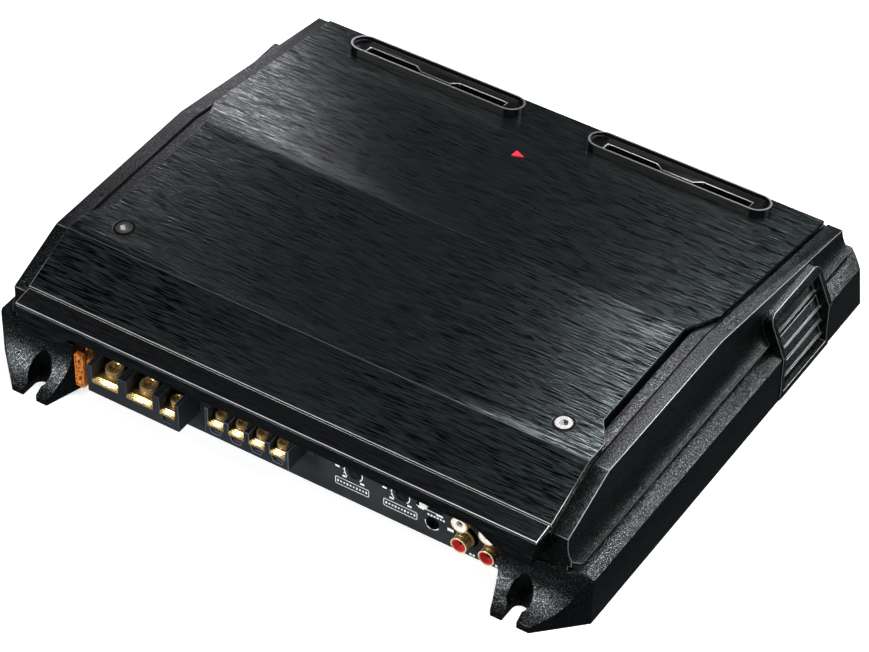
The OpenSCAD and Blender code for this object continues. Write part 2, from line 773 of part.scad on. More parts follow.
// ---------- controls ----------
module pot(x) {
    difference() {
        block([x - 5, -116.8, pcb_top], [x + 5, -106, knob_z + 5]);
        bar_y(x, knob_z, knob_shaft_r + run_gap, -118, -109);
    }
}
module knob(x) {
    difference() {
        union() {
            bar_y(x, knob_z, knob_r, panel_y + 0.3, panel_y + 2.2);
            bar_y(x, knob_z, knob_shaft_r, panel_y + 2, -110);
        }
        centred_block([x, panel_y + 0.3, knob_z], [knob_r * 1.5, 1.8, 0.9]);
    }
}
module crossover_pot() {
    color("royalblue") pot(crossover_x);
}
module crossover_knob() {
    color("black") knob(crossover_x);
}
module sensitivity_pot() {
    color("royalblue") pot(sensitivity_x);
}
module sensitivity_knob() {
    color("black") knob(sensitivity_x);
}
module switch_body() {
    color("dimgray") difference() {
        block([switch_x[0] - 1.5, panel_y + panel_t, switch_z - 4], [switch_x[1] + 1.5, -108, switch_z + 4]);
        block([switch_x[0] - 0.4, panel_y, switch_z - 3], [switch_x[1] + 0.4, panel_y + 4, switch_z + 3]);
    }
}
module switch_lever() {
    color("white") {
        centred_block([switch_rest_x, panel_y + 0.85, switch_z], [4, 3.3, 3.4]);
        centred_block([switch_rest_x, panel_y + 2.9, switch_z], [6.4, 1.2, 5.4]);
    }
}
module remote_jack() {
    color("black") difference() {
        union() {
            bar_y(remote_x, remote_z, 3.2, panel_y - 0.6, panel_y + panel_t + 0.2);
            block([remote_x - 4.5, panel_y + panel_t + 0.1, 6.3], [remote_x + 4.5, -105, 15]);
        }
        bar_y(remote_x, remote_z, remote_bore_r, panel_y - 1, panel_y - 0.6 + remote_len);
    }
}

// ---------- electronics ----------
module main_pcb() {
    color("darkgreen") difference() {
        block([-124, -104, pcb_z], [124, 108, pcb_top]);
        for (x = [-100, 0, 100], y = [-95, 98]) translate([x, y, 0]) cylinder(h = 20, r = 1.6);
    }
}
module pcb_standoffs() {
    color("silver") for (x = [-100, 0, 100], y = [-95, 98]) translate([x, y, 0]) {
        translate([0, 0, floor_z + floor_t]) cylinder(h = pcb_z - floor_z - floor_t, r = 3);
        translate([0, 0, pcb_top]) cylinder(h = 2, r = 2.8);
        translate([0, 0, pcb_z - eps]) cylinder(h = pcb_t + 2 * eps, r = 1.5);
    }
}
module toroid(x, y, r, core_r) {
    translate([x, y, pcb_top + core_r + 0.2]) rotate_extrude($fn = 96)
        translate([r, 0]) circle(r = core_r, $fn = 48);
}
module power_toroid() {
    color("peru") toroid(-50, 20, 17, 9);
}
module output_inductor() {
    color("goldenrod") toroid(40, 24, 12, 7);
}
module capacitors() {
    color("navy") {
        for (i = [0:4]) translate([-90 + i * 24, -48, pcb_top]) cylinder(h = 36, r = 9);
        for (i = [0:2]) translate([50 + i * 18, -50, pcb_top]) cylinder(h = 25, r = 6.5);
    }
}
module power_transistors() {
    color("black") for (s = [-1, 1], i = [0:5]) translate([s * (wall_x - wall_t - 2.4), -80 + i * 18, 0]) {
        centred_block([0, 0, 22], [4.6, 10, 16]);
        for (k = [-1, 0, 1]) centred_block([s * 0.6, k * 2.54, 10.8], [0.6, 0.9, 6.4]);
    }
}
module transistor_clamps() {
    color("silver") for (s = [-1, 1]) centred_block([s * (wall_x - wall_t - 5.4), -35, 24], [1.2, 106, 7]);
}
module fan_frame() {
    color("black") translate(fan_c) rotate([0, 90, 0]) difference() {
        cube([fan_w, fan_w, fan_t], center = true);
        cylinder(h = fan_t - 3, r = fan_bore_r, center = true);
        difference() {
            cylinder(h = fan_t + 2, r = fan_bore_r, center = true);
            translate([0, 0, -fan_t / 2 - 2]) linear_extrude(4) {
                circle(r = 7.5);
                for (a = [45, 135]) rotate(a) square([40, 2.4], center = true);
            }
        }
        translate([0, 0, -fan_t]) cylinder(h = 2 * fan_t, r = 1.55);
    }
}
module fan_rotor() {
    color("dimgray") translate(fan_c) rotate([0, 90, 0]) {
        translate([0, 0, -3]) cylinder(h = 7.4, r = 7.4);
        translate([0, 0, -fan_t / 2 + 0.2]) cylinder(h = 3, r = 1.5);
        for (i = [0:6]) rotate(i * 360 / 7) translate([11, 0, 0.6]) rotate([35, 0, 0])
            cube([9.6, 1, 8], center = true);
    }
}

bottom_plate();
heatsink();
connector_panel();
rear_panel();
left_side_rail();
right_side_rail();
left_side_seal();
right_side_seal();
left_end_cap();
right_end_cap();
top_plate();
terminal_cover();
front_trim();
front_fascia();
left_side_grille();
right_side_grille();
left_vent_bezel();
right_vent_bezel();
left_vent_insert();
right_vent_insert();
indicator_lens();
indicator_led();
cover_screws();
cover_screw_cups();
chassis_screws();
power_terminal_block();
power_clamp_plates();
battery_screw();
ground_screw();
remote_screw();
speaker_terminal_block();
speaker_clamp_plates();
speaker_screw_1();
speaker_screw_2();
speaker_screw_3();
speaker_screw_4();
fuse_holder();
fuse_body();
fuse_blades();
rca_housing();
rca_shells();
rca_white_rings();
rca_red_rings();
rca_contacts();
crossover_pot();
crossover_knob();
sensitivity_pot();
sensitivity_knob();
switch_body();
switch_lever();
remote_jack();
main_pcb();
pcb_standoffs();
power_toroid();
output_inductor();
capacitors();
power_transistors();
transistor_clamps();
fan_frame();
fan_rotor();
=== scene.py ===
"""A black car amplifier on a pale floor: finishes, fine detail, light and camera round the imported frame."""
import json
import math
import bmesh
import bpy
from mathutils import Matrix, Vector


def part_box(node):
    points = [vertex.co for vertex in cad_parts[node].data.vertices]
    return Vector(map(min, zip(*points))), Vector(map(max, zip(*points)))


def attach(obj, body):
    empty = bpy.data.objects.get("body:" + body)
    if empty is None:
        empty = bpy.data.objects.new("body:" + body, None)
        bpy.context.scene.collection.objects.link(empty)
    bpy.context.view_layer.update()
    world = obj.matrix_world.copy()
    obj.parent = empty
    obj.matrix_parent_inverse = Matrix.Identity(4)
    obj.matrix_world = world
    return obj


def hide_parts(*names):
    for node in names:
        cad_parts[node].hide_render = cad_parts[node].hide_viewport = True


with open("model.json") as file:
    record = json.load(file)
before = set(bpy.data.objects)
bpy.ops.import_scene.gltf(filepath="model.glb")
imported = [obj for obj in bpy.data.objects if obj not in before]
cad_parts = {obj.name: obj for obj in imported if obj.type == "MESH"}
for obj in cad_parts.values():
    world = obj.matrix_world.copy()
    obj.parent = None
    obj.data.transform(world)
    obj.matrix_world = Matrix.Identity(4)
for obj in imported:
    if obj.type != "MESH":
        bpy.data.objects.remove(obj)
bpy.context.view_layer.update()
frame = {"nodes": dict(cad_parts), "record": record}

MM = 0.001
nodes = frame["nodes"]

# Sizes in millimetres that more than one piece uses.
JACK_R = 4.15  # outer radius of a phono shell
COLLAR_Y = -120.7  # front face of the collar behind the phono shells
PRINT_Y = (-119.56, -119.45)  # front and back of the printed marks, just proud of the connector panel


# ---------------------------------------------------------------- materials
M = {}  # every material, by name


def new_material(name):
    """A material with only an output and a shader, filed under its name."""
    material = bpy.data.materials.new(name)
    material.use_nodes = True
    tree = material.node_tree
    tree.nodes.clear()
    out = tree.nodes.new("ShaderNodeOutputMaterial")
    shader = tree.nodes.new("ShaderNodeBsdfPrincipled")
    tree.links.new(shader.outputs["BSDF"], out.inputs["Surface"])
    M[name] = material
    return tree, shader


def set_inputs(shader, color, roughness, metallic=0.0, **sockets):
    """Plain values straight on the shader's own sockets."""
    shader.inputs["Base Color"].default_value = (*color, 1.0)
    shader.inputs["Roughness"].default_value = roughness
    shader.inputs["Metallic"].default_value = metallic
    for name, value in sockets.items():
        shader.inputs[name.replace("_", " ")].default_value = value


def mapped(tree, vector, scale):
    """A vector scaled along each axis."""
    mapping = tree.nodes.new("ShaderNodeMapping")
    mapping.inputs["Scale"].default_value = scale
    tree.links.new(vector, mapping.inputs["Vector"])
    return mapping.outputs["Vector"]


def place(tree):
    """Object coordinates, in metres."""
    return tree.nodes.new("ShaderNodeTexCoord").outputs["Object"]


def split(tree, vector):
    """A vector's X, Y and Z."""
    node = tree.nodes.new("ShaderNodeSeparateXYZ")
    tree.links.new(vector, node.inputs[0])
    return node.outputs


def noise(tree, vector, scale, detail=2.0, roughness=0.6):
    """A noise texture's value."""
    node = tree.nodes.new("ShaderNodeTexNoise")
    node.inputs["Scale"].default_value = scale
    node.inputs["Detail"].default_value = detail
    node.inputs["Roughness"].default_value = roughness
    tree.links.new(vector, node.inputs["Vector"])
    return node.outputs["Fac"]


def ramp(tree, value, span, start, end, socket):
    """Feeds a socket with a blend of two colours, or two greys, as a value crosses a span."""
    node = tree.nodes.new("ShaderNodeValToRGB")
    for stop, at, color in zip(node.color_ramp.elements, span, (start, end)):
        stop.position = at
        stop.color = (*color, 1.0) if isinstance(color, tuple) else (color, color, color, 1.0)
    tree.links.new(value, node.inputs["Fac"])
    tree.links.new(node.outputs["Color"], socket)


def math_node(tree, operation, *values):
    """One step of arithmetic on plain numbers and other nodes' results."""
    node = tree.nodes.new("ShaderNodeMath")
    node.operation = operation
    for socket, value in zip(node.inputs, values):
        if isinstance(value, (int, float)):
            socket.default_value = value
        else:
            tree.links.new(value, socket)
    return node.outputs[0]


def bump(tree, shader, height, depth):
    """Tilts the shader's normal as if a height from 0 to 1 were a depth in metres."""
    node = tree.nodes.new("ShaderNodeBump")
    node.inputs["Distance"].default_value = depth
    tree.links.new(height, node.inputs["Height"])
    tree.links.new(node.outputs["Normal"], shader.inputs["Normal"])


def granular_paint(name, color, speck):
    """Thick black paint full of fine flakes that glint where they face a light."""
    roughness, depth = 0.29, 0.0002
    grain, patch = 1700.0, 60.0
    tree, shader = new_material(name)
    set_inputs(shader, color, roughness, Specular_IOR_Level=0.25)
    where = place(tree)
    fine = noise(tree, where, grain, 1.0)
    broad = noise(tree, where, patch, 3.0, 0.55)
    # A flake is metal before it is bright, so that no bright spot is matt.
    ramp(tree, fine, (0.48, 0.66), color, speck, shader.inputs["Base Color"])
    ramp(tree, fine, (0.4, 0.5), 0.0, 1.0, shader.inputs["Metallic"])
    ramp(tree, broad, (0.3, 0.7), roughness - 0.05, roughness + 0.07, shader.inputs["Roughness"])
    bump(tree, shader, fine, depth)


def brushed_metal(name, color, light, roughness=0.22):
    """Metal with fine, slightly wavy brush lines along X, their contrast growing towards both ends of the
    amplifier as painted glints where the highlights lie.
    """
    depth = 0.00007
    wave_scale, wave_height = (90, 150, 150), (0.0, 0.0009, 0.0009)
    line_scale = (75.0, 1600.0, 1600.0)
    level = 0.52  # mean of the lines, which stays when the contrast grows
    contrast, painted_glint_per_metre = 0.6, 12.0
    tree, shader = new_material(name)
    set_inputs(shader, color, roughness, 0.9, Specular_IOR_Level=0.3, Anisotropic=0.6)
    where = place(tree)
    wave = noise(tree, mapped(tree, where, wave_scale), 1.0, roughness=0.5)
    bend = tree.nodes.new("ShaderNodeVectorMath")
    bend.operation = "MULTIPLY_ADD"
    tree.links.new(wave, bend.inputs[0])
    bend.inputs[1].default_value = wave_height
    tree.links.new(where, bend.inputs[2])
    lines = noise(tree, mapped(tree, bend.outputs[0], line_scale), 1.0, roughness=0.7)
    # The lines' contrast grows with distance from the middle: painted glints, strongest towards the ends where
    # the highlights lie.
    away = math_node(tree, "ABSOLUTE", split(tree, where)["X"])
    streak_and_glint_contrast = math_node(tree, "MULTIPLY_ADD", away, painted_glint_per_metre, contrast)
    cut = math_node(tree, "MULTIPLY", math_node(tree, "SUBTRACT", lines, level), streak_and_glint_contrast)
    lines = math_node(tree, "ADD", cut, level)
    ramp(tree, lines, (0.34, 0.95), color, light, shader.inputs["Base Color"])
    ramp(tree, lines, (0.2, 0.8), roughness + 0.1, roughness - 0.06, shader.inputs["Roughness"])
    side = tree.nodes.new("ShaderNodeCombineXYZ")
    side.inputs["Y"].default_value = 1.0
    tree.links.new(side.outputs["Vector"], shader.inputs["Tangent"])
    bump(tree, shader, lines, depth)


def painted_top_rim(name, color, top):
    """Black gloss walls, and bright bare metal on the faces that look up as a painted highlight along the top.
    """
    gloss, bare = 0.12, 0.35
    upward = (0.6, 0.8)  # from wall to top, as the normal's Z
    tree, shader = new_material(name)
    set_inputs(shader, color, gloss)
    facing = split(tree, tree.nodes.new("ShaderNodeNewGeometry").outputs["Normal"])["Z"]
    # Faces that look up get a bright metal colour: a painted highlight.
    ramp(tree, facing, upward, color, top, shader.inputs["Base Color"])
    ramp(tree, facing, upward, 0.0, 1.0, shader.inputs["Metallic"])
    ramp(tree, facing, upward, gloss, bare, shader.inputs["Roughness"])
    bump(tree, shader, noise(tree, place(tree), 700.0), 0.000003)


def painted_edge_line(name, axis, middle, end, span, metallic):
    """Painted highlight line along a rounded edge: one colour nearer the middle than a span in millimetres,
    another past it.
    """
    tree, shader = new_material(name)
    set_inputs(shader, end, 0.38, metallic)
    where = place(tree)
    away = math_node(tree, "ABSOLUTE", split(tree, where)[axis])
    ramp(tree, away, [at * MM for at in span], middle, end, shader.inputs["Base Color"])
    ramp(tree, noise(tree, where, 300.0), (0.3, 0.7), 0.3, 0.46, shader.inputs["Roughness"])


def moulded(name, color, roughness, grain=0.00003, metallic=0.0, vary=0.25, patch=45.0, **sockets):
    """Plastic, rubber or plated metal with a faint surface and a little colour variation."""
    tree, shader = new_material(name)
    set_inputs(shader, color, roughness, metallic, **sockets)
    where = place(tree)
    broad = noise(tree, where, patch, 3.0)
    dark = tuple(c * (1 - vary) for c in color)
    lit = tuple(min(1.0, c * (1 + vary)) for c in color)
    ramp(tree, broad, (0.3, 0.7), dark, lit, shader.inputs["Base Color"])
    ramp(tree, broad, (0.25, 0.75), roughness * 0.8, min(1.0, roughness * 1.2), shader.inputs["Roughness"])
    bump(tree, shader, noise(tree, where, 900.0), grain)


SMOOTH = 0.00001  # bump depth of plated metal, in metres

granular_paint("textured_black", (0.002, 0.003, 0.003), (0.14, 0.153, 0.157))
brushed_metal("brushed_black", (0.0, 0.0014, 0.0012), (0.165, 0.2, 0.196))
brushed_metal("brushed_trim", (0.008, 0.009, 0.01), (0.05, 0.054, 0.055), 0.34)
moulded("heatsink_black", (0.006, 0.006, 0.0065), 0.5, metallic=0.3)
moulded("panel_black", (0.019, 0.0235, 0.026), 0.5, Specular_IOR_Level=0.3)
moulded("seal_black", (0.002, 0.002, 0.0025), 0.45)
brushed_metal("fascia_black", (0.005, 0.006, 0.0065), (0.05, 0.058, 0.061), 0.4)
# Vent rims: black gloss walls with a painted highlight on the faces that look up.
painted_top_rim("chrome_rim", (0.003, 0.003, 0.0035), (0.5, 0.51, 0.52))
moulded("insert_black", (0.002, 0.002, 0.0022), 0.35, Specular_IOR_Level=0.1)
moulded("red_lens", (0.8, 0.03, 0.06), 0.25, vary=0.1)
moulded("steel", (0.46, 0.46, 0.45), 0.25, SMOOTH, metallic=1.0, vary=0.1)
moulded("terminal_plastic", (0.014, 0.017, 0.021), 0.36)
moulded("gold", (0.84, 0.6, 0.26), 0.26, SMOOTH, metallic=0.8, vary=0.06, patch=300.0)
# A dark copy of gold on the contacts deep inside the phono jacks: painted shade in the hollow.
moulded("gold_painted_shade", (0.2, 0.13, 0.05), 0.3, SMOOTH, metallic=0.8, vary=0.1)
# A lighter, less metallic copy of gold on the phono shells' rolled lips: a painted highlight.
moulded("gold_painted_highlight", (0.95, 0.78, 0.5), 0.25, SMOOTH, metallic=0.3, vary=0.05)
moulded("fuse_amber", (0.85, 0.2, 0.035), 0.1, vary=0.75, patch=700.0, Transmission_Weight=0.3)
moulded("tin", (0.7, 0.7, 0.7), 0.3, SMOOTH, metallic=1.0, vary=0.05)
moulded("white_plastic", (0.8, 0.78, 0.72), 0.35, vary=0.06)
moulded("red_plastic", (0.5, 0.02, 0.02), 0.3, vary=0.15)
moulded("knob_black", (0.01, 0.01, 0.011), 0.4)
moulded("pot_blue", (0.05, 0.15, 0.4), 0.4)
moulded("board_green", (0.02, 0.12, 0.05), 0.35)
brushed_metal("copper_winding", (0.4, 0.16, 0.06), (0.9, 0.5, 0.22))
moulded("capacitor_sleeve", (0.02, 0.035, 0.08), 0.3)
moulded("print_white", (0.75, 0.77, 0.78), 0.6, vary=0.08)
# Painted highlight line on the rounded edges of the terminal cover and front trim: bright past 116 mm from the
# middle, dark nearer it.
painted_edge_line("edge", "Y", (0.12, 0.13, 0.13), (0.72, 0.73, 0.74), (110, 116), 0.6)
# Bright metal on the vent inserts' rounded edges: a painted highlight line.
moulded("vent_edge_highlight", (0.6, 0.61, 0.62), 0.4, 0.0, metallic=1.0, vary=0.05)
# Lighter bluish grey on the terminal blocks' rounded edges: a painted highlight line.
moulded("block_edge_highlight", (0.11, 0.13, 0.17), 0.35, 0.0, vary=0.15)
# Painted highlight line on the rounded edges of the end caps and side grilles: bright past 141.8 mm out from
# the middle, black nearer it.
painted_edge_line("paint_edge_highlight", "X", (0.003, 0.003, 0.003), (0.34, 0.35, 0.36), (141.0, 141.8), 0.8)

EDGES = {  # node: (edge radius in mm, angle in degrees above which an edge is rounded, material that paints a highlight line on the edge)
    "top_plate": (0.15, 20, None),
    "terminal_cover": (0.28, 20, "edge"),
    "front_trim": (0.28, 20, "edge"),
    "front_fascia": (0.3, 6, None),
    "left_end_cap": (0.3, 20, "paint_edge_highlight"),
    "right_end_cap": (0.3, 20, "paint_edge_highlight"),
    "left_side_rail": (0.5, 20, None),
    "right_side_rail": (0.5, 20, None),
    "left_side_grille": (0.3, 20, "paint_edge_highlight"),
    "right_side_grille": (0.3, 20, "paint_edge_highlight"),
    "left_vent_insert": (0.45, 30, "vent_edge_highlight"),
    "right_vent_insert": (0.45, 30, "vent_edge_highlight"),
    "power_terminal_block": (0.3, 30, "block_edge_highlight"),
    "speaker_terminal_block": (0.3, 30, "block_edge_highlight"),
}


def shade_smooth(obj, limit):
    """Drops stored normals, and shades smoothly across every edge flatter than the limit in degrees."""
    group = bpy.data.node_groups.new(f"shade_{limit}", "GeometryNodeTree")
    group.interface.new_socket("Geometry", in_out="INPUT", socket_type="NodeSocketGeometry")
    group.interface.new_socket("Geometry", in_out="OUTPUT", socket_type="NodeSocketGeometry")
    source = group.nodes.new("NodeGroupInput")
    drop = group.nodes.new("GeometryNodeRemoveAttribute")
    drop.inputs["Name"].default_value = "custom_normal"
    faces = group.nodes.new("GeometryNodeSetShadeSmooth")
    faces.domain = "FACE"
    faces.inputs["Shade Smooth"].default_value = True
    angle = group.nodes.new("GeometryNodeInputMeshEdgeAngle")
    flat = group.nodes.new("FunctionNodeCompare")
    flat.data_type = "FLOAT"
    flat.operation = "LESS_THAN"
    flat.inputs["B"].default_value = math.radians(limit)
    edges = group.nodes.new("GeometryNodeSetShadeSmooth")
    edges.domain = "EDGE"
    result = group.nodes.new("NodeGroupOutput")
    links = group.links
    links.new(source.outputs[0], drop.inputs["Geometry"])
    links.new(drop.outputs["Geometry"], faces.inputs["Geometry"])
    links.new(faces.outputs["Geometry"], edges.inputs["Geometry"])
    links.new(angle.outputs["Unsigned Angle"], flat.inputs["A"])
    links.new(flat.outputs["Result"], edges.inputs["Shade Smooth"])
    links.new(edges.outputs["Geometry"], result.inputs[0])
    obj.modifiers.new("shade", "NODES").node_group = group


def round_edges(obj, radius, angle):
    """Rounds the edges sharper than an angle in degrees, to a radius in millimetres."""
    bevel = obj.modifiers.new("bevel", "BEVEL")
    bevel.width = radius * MM
    bevel.segments = 2
    bevel.limit_method = "ANGLE"
    bevel.angle_limit = math.radians(angle)
    return bevel


def soften(obj, radius, angle, finish):
    """Joins a CAD mesh's flat triangles, rounds its sharp edges and shades it. Its rounded edges may carry a
    painted highlight line.
    """
    weld = obj.modifiers.new("weld", "WELD")
    weld.merge_threshold = 1e-6
    join = obj.modifiers.new("join", "DECIMATE")
    join.decimate_type = "DISSOLVE"
    join.angle_limit = math.radians(0.4)
    bevel = round_edges(obj, radius, angle)
    # The rounded edges take the material that paints their highlight line.
    if finish:
        obj.data.materials.append(M[finish])
        bevel.material = 1
    shade_smooth(obj, angle)


slot_of = {s["node"]: s["material_slot"] for s in frame["record"]["subparts"]}
for name, obj in nodes.items():
    obj.data.materials.clear()
    obj.data.materials.append(M[slot_of[name]])
    if name in EDGES:
        soften(obj, *EDGES[name])


# ---------------------------------------------------------------- mesh building
# From here to the stage, every length is in millimetres.
def box_mm(node):
    """A CAD node's lowest and highest corners, in millimetres."""
    low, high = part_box(node)
    return Vector(low) / MM, Vector(high) / MM


def round_node(node):
    """The corners of a round node's box, its middle as x, y, z, and its radius."""
    low, high = box_mm(node)
    return low, high, [(a + b) / 2 for a, b in zip(low, high)], (high.x - low.x) / 2


def turned(bm, profile, centre, axis="Z", steps=48):
    """Revolves (radius, height) points round a line through centre: +Z, or -Y towards the front."""
    rings = []
    for radius, height in profile:
        ring = []
        for k in range(1 if radius == 0 else steps):
            turn = 2 * math.pi * k / steps
            side, up = radius * math.cos(turn), radius * math.sin(turn)
            offset = Vector((side, up, height)) if axis == "Z" else Vector((side, -height, up))
            ring.append(bm.verts.new(Vector(centre) + offset))
        rings.append(ring)
    for a, b in zip(rings, rings[1:]):
        for k in range(steps):
            corners = [a[k % len(a)], a[(k + 1) % len(a)], b[(k + 1) % len(b)], b[k % len(b)]]
            bm.faces.new(list(dict.fromkeys(corners))).smooth = True


def prism(bm, outline, start, end, place_at):
    """Extrudes an outline between two stations; place_at turns (u, v, station) into a point."""
    low = [bm.verts.new(place_at(u, v, start)) for u, v in outline]
    high = [bm.verts.new(place_at(u, v, end)) for u, v in outline]
    bm.faces.new(low)
    bm.faces.new(high)
    for k in range(len(outline)):
        j = (k + 1) % len(outline)
        bm.faces.new([low[k], low[j], high[j], high[k]])


def along_x(u, v, station):
    return Vector((station, u, v))


def along_y(u, v, station):
    return Vector((u, station, v))


def along_z(u, v, station):
    return Vector((u, v, station))


def block(bm, low, high):
    """A box between two corners."""
    outline = [(low[0], low[1]), (high[0], low[1]), (high[0], high[1]), (low[0], high[1])]
    prism(bm, outline, low[2], high[2], along_z)


def rounded_outline(width, height, radius, steps=6, centre=(0, 0)):
    """A rectangle with round corners, counter-clockwise."""
    points = []
    corners = ((1, 1, 0), (-1, 1, 90), (-1, -1, 180), (1, -1, 270))
    for sx, sy, start in corners:
        cx = centre[0] + sx * (width / 2 - radius)
        cy = centre[1] + sy * (height / 2 - radius)
        for k in range(steps + 1):
            turn = math.radians(start + 90 * k / steps)
            points.append((cx + radius * math.cos(turn), cy + radius * math.sin(turn)))
    return points


def to_object(name, bm, finish=None):
    """Turns a mesh in millimetres into an object in metres."""
    bmesh.ops.recalc_face_normals(bm, faces=bm.faces)
    mesh = bpy.data.meshes.new(name)
    bm.to_mesh(mesh)
    bm.free()
    mesh.transform(Matrix.Scale(MM, 4))
    if finish:
        mesh.materials.append(M[finish])
    obj = bpy.data.objects.new(name, mesh)
    bpy.context.collection.objects.link(obj)
    return obj


def carve(obj, bm):
    """Cuts a closed shape out of an object."""
    cutter = to_object("cutter", bm)
    cut = obj.modifiers.new("cut", "BOOLEAN")
    cut.operation = "DIFFERENCE"
    cut.solver = "EXACT"
    cut.object = cutter
    bpy.context.view_layer.update()
    graph = bpy.context.evaluated_depsgraph_get()
    mesh = bpy.data.meshes.new_from_object(obj.evaluated_get(graph))
    obj.modifiers.clear()
    obj.data = mesh
    bpy.data.objects.remove(cutter)


def add_piece(obj, body, replaces=(), edge=0.0, angle=30):
    """Rounds a new piece's edges, shades it, parents it to the body it rides on and hides the CAD parts it
    stands for.
    """
    if edge:
        round_edges(obj, edge, angle)
    shade_smooth(obj, angle)
    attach(obj, body)
    if replaces:
        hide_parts(*replaces)


# ---------------------------------------------------------------- terminals
def terminal_screw(node, washer_z):
    """Gold screw: a round head with a crosshead recess, a thick washer and a plain shank."""
    low, high, (x, y, _), r = round_node(node)
    h = high.z - washer_z
    shank, neck, dish_r = r * 0.47, r * 0.8, r * 0.56
    dish = high.z - 0.09 * h  # height of the hollow in the head's top
    bm = bmesh.new()
    turned(bm, [
        (0, low.z), (shank, low.z), (shank, washer_z), (r * 0.98, washer_z),
        (r * 1.0, washer_z + 0.1), (r * 1.0, washer_z + 0.55), (r * 0.96, washer_z + 0.65),
        (neck, washer_z + 0.7), (neck, washer_z + 0.95), (r * 0.93, washer_z + 1.0),
        (r * 0.97, washer_z + 1.15), (r * 0.97, high.z - 0.08 * h), (r * 0.94, high.z - 0.02 * h),
        (r * 0.88, high.z), (r * 0.62, high.z), (dish_r, dish), (0, dish),
    ], (x, y, 0))
    obj = to_object(node + "_detail", bm, "gold")
    cross = bmesh.new()
    long, short, deep = r * 0.55, r * 0.14, 0.42 * h  # half the cross's length and width, and its depth
    outline = [
        (long, -short), (long, short), (short, short), (short, long), (-short, long), (-short, short),
        (-long, short), (-long, -short), (-short, -short), (-short, -long), (short, -long), (short, -short)]
    tilt = math.radians(20)
    turned_outline = [
        (x + u * math.cos(tilt) - v * math.sin(tilt), y + u * math.sin(tilt) + v * math.cos(tilt))
        for u, v in outline]
    prism(cross, turned_outline, high.z - deep, high.z + 1, along_z)
    carve(obj, cross)
    add_piece(obj, node, [node], angle=28)


def clamp_plates(name, node, widths, centres, screw_y, hole_r):
    """Gold plates with three cross ridges near the front and a hole for each screw."""
    sunk, thick = 0.25, 1.6  # of the plate's flat: how far below the CAD plate's top, and how thick
    ridge, ridge_pitch = 0.42, 1.05
    low, high = box_mm(node)
    base = high.z - sunk - thick
    top = high.z - sunk
    bm = bmesh.new()
    front, back = low.y, high.y
    profile = [(back, base), (front + 1.0, base), (front + 0.9, base), (front, base + 0.15)]
    profile += [(front, top - 0.1), (front + 0.15, top + 0.05)]
    for k in range(3):
        at = front + 0.5 + k * ridge_pitch
        profile += [(at, top + 0.05), (at + 0.25, top + ridge)]
        profile += [(at + 0.5, top + ridge), (at + 0.7, top - 0.12)]
    profile += [(front + 4.0, top), (back, top)]
    for width, centre in zip(widths, centres):
        prism(bm, profile, centre - width / 2, centre + width / 2, along_x)
    obj = to_object(name, bm, "gold")
    holes = bmesh.new()
    drill = [(0, base - 2), (hole_r, base - 2), (hole_r, top + 2), (0, top + 2)]
    for centre in centres:
        turned(holes, drill, (centre, screw_y, 0))
    carve(obj, holes)
    add_piece(obj, "chassis", [node], edge=0.08, angle=25)


def add_terminals():
    supply = ["battery_screw", "ground_screw", "remote_screw"]
    speaker = [f"speaker_screw_{k}" for k in (1, 2, 3, 4)]
    rows = (  # screws, name of the new plates, CAD plates, plate widths, hole radius
        (supply, "supply_plates", "power_clamp_plates", [14.3, 14.3, 8.2], 2.6),
        (speaker, "speaker_plates", "speaker_clamp_plates", [8.0] * 4, 1.9))
    for screws, _, plates, _, _ in rows:
        for node in screws:
            terminal_screw(node, box_mm(plates)[1].z + 0.2)
    for screws, name, plates, widths, hole_r in rows:
        middle = [sum(box_mm(node), Vector()) / 2 for node in screws]
        clamp_plates(name, plates, widths, [at.x for at in middle], middle[0].y, hole_r)


def add_fuse():
    """Translucent blade fuse: cap with a framed, ribbed face and two test points, and a narrow stem."""
    low, high = box_mm("fuse_body")
    x, z = (low.x + high.x) / 2, (low.z + high.z) / 2
    wide, tall = high.x - low.x, high.z - low.z
    front, cap_back, back = low.y, low.y + 8, high.y
    well_z, blade_z = 5.2, 5  # of the test wells and of the blades' slots, from the middle
    grip = 0.6  # how deep the raised face is
    bm = bmesh.new()

    def bar(width, height, radius, start, end, steps=6, dx=0.0, dz=0.0):
        prism(bm, rounded_outline(width, height, radius, steps, (x + dx, z + dz)), start, end, along_y)

    bar(wide, tall, 0.9, front + 0.5, front + 2.6)
    bar(wide - 0.7, tall - 1.2, 0.6, front + 2.5, cap_back)
    bar(wide - 1.4, tall - 3.4, 0.5, cap_back - 0.1, back)
    for side in (-1, 1):
        bar(0.5, tall - 1.4, 0.2, front, front + grip, 3, dx=side * (wide / 2 - 0.3))
        bar(wide - 0.6, 0.6, 0.2, front, front + grip, 3, dz=side * (tall / 2 - 0.35))
        bar(wide - 1.2, 0.5, 0.2, front + 0.1, front + grip, 3, dz=side * 2.4)
        bar(0.7, 3.2, 0.2, front + 0.15, front + grip, 3, dx=side * 0.9)
    obj = to_object("fuse_case", bm, "fuse_amber")
    wells = bmesh.new()
    for side in (-1, 1):
        well = rounded_outline(2.0, 2.6, 0.4, 4, (x, z + side * well_z))
        prism(wells, well, front - 1, front + 1.6, along_y)
        block(wells, (x - 0.45, front + 2.9, z + side * blade_z - 2.7),
              (x + 0.45, back + 1, z + side * blade_z + 2.7))
    carve(obj, wells)
    add_piece(obj, "fuse", ["fuse_body"], edge=0.12, angle=40)
    bm = bmesh.new()
    for side in (-1, 1):
        at = z + side * well_z
        block(bm, (x - 0.7, front + 1.35, at - 0.9), (x + 0.7, front + 1.9, at + 0.9))
    add_piece(to_object("fuse_test_points", bm, "tin"), "fuse", edge=0.1)


